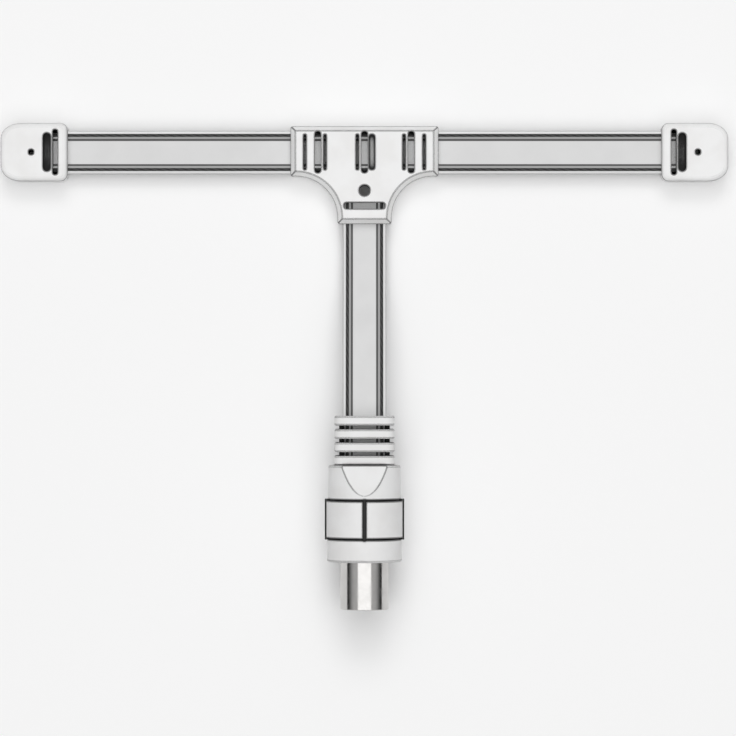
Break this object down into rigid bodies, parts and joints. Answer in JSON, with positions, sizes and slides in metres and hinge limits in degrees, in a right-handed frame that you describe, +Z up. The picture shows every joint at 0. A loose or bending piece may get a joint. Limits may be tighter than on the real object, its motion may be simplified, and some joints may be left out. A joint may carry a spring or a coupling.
{
  "type": "fm indoor antenna",
  "caption": "T-shaped flat ribbon FM dipole aerial: moulded tee, rounded end caps, and a ribbon downlead to a round coaxial plug with a finned strain relief.",
  "frame": {"origin": "axis of the tee's pin hole, at the flat back of the tee", "axes": "+Z up out of the tee's front, +X along the crossbar ribbon to its right end, +Y from the plug towards the crossbar"},
  "size_m": [0.1574, 0.105, 0.0171],
  "materials": {
    "white_moulding": "fine matt moulded PVC",
    "plug_moulding": "fine matt moulded PVC",
    "ribbon": "cloudy extruded polyethylene",
    "tinned_wire": "tinned copper strands",
    "plated_metal": "bright nickel plate on brass",
    "insulator": "polyethylene",
    "ferrite": "sintered ferrite",
    "enamelled_wire": "enamelled copper",
    "solder": "soft solder"
  },
  "bodies": {
    "root": {"tee_moulding": "white_moulding", "left_end_cap": "white_moulding", "right_end_cap": "white_moulding", "plug_moulding": "plug_moulding", "crossbar_ribbon": "ribbon", "downlead_ribbon": "ribbon", "plug_barrel": "plated_metal", "centre_contact": "plated_metal", "plug_insulator": "insulator", "balun_core": "ferrite", "primary_winding": "enamelled_wire", "secondary_winding": "enamelled_wire", "contact_joint": "solder", "barrel_joint": "solder", "upper_wire": "tinned_wire", "lower_dead_wire": "tinned_wire", "lower_left_wire": "tinned_wire", "downlead_left_wire": "tinned_wire", "left_end_joint": "solder", "left_feed_joint": "solder", "left_plug_joint": "solder", "lower_right_wire": "tinned_wire", "downlead_right_wire": "tinned_wire", "right_end_joint": "solder", "right_feed_joint": "solder", "right_plug_joint": "solder"}
  },
  "joints": []
}
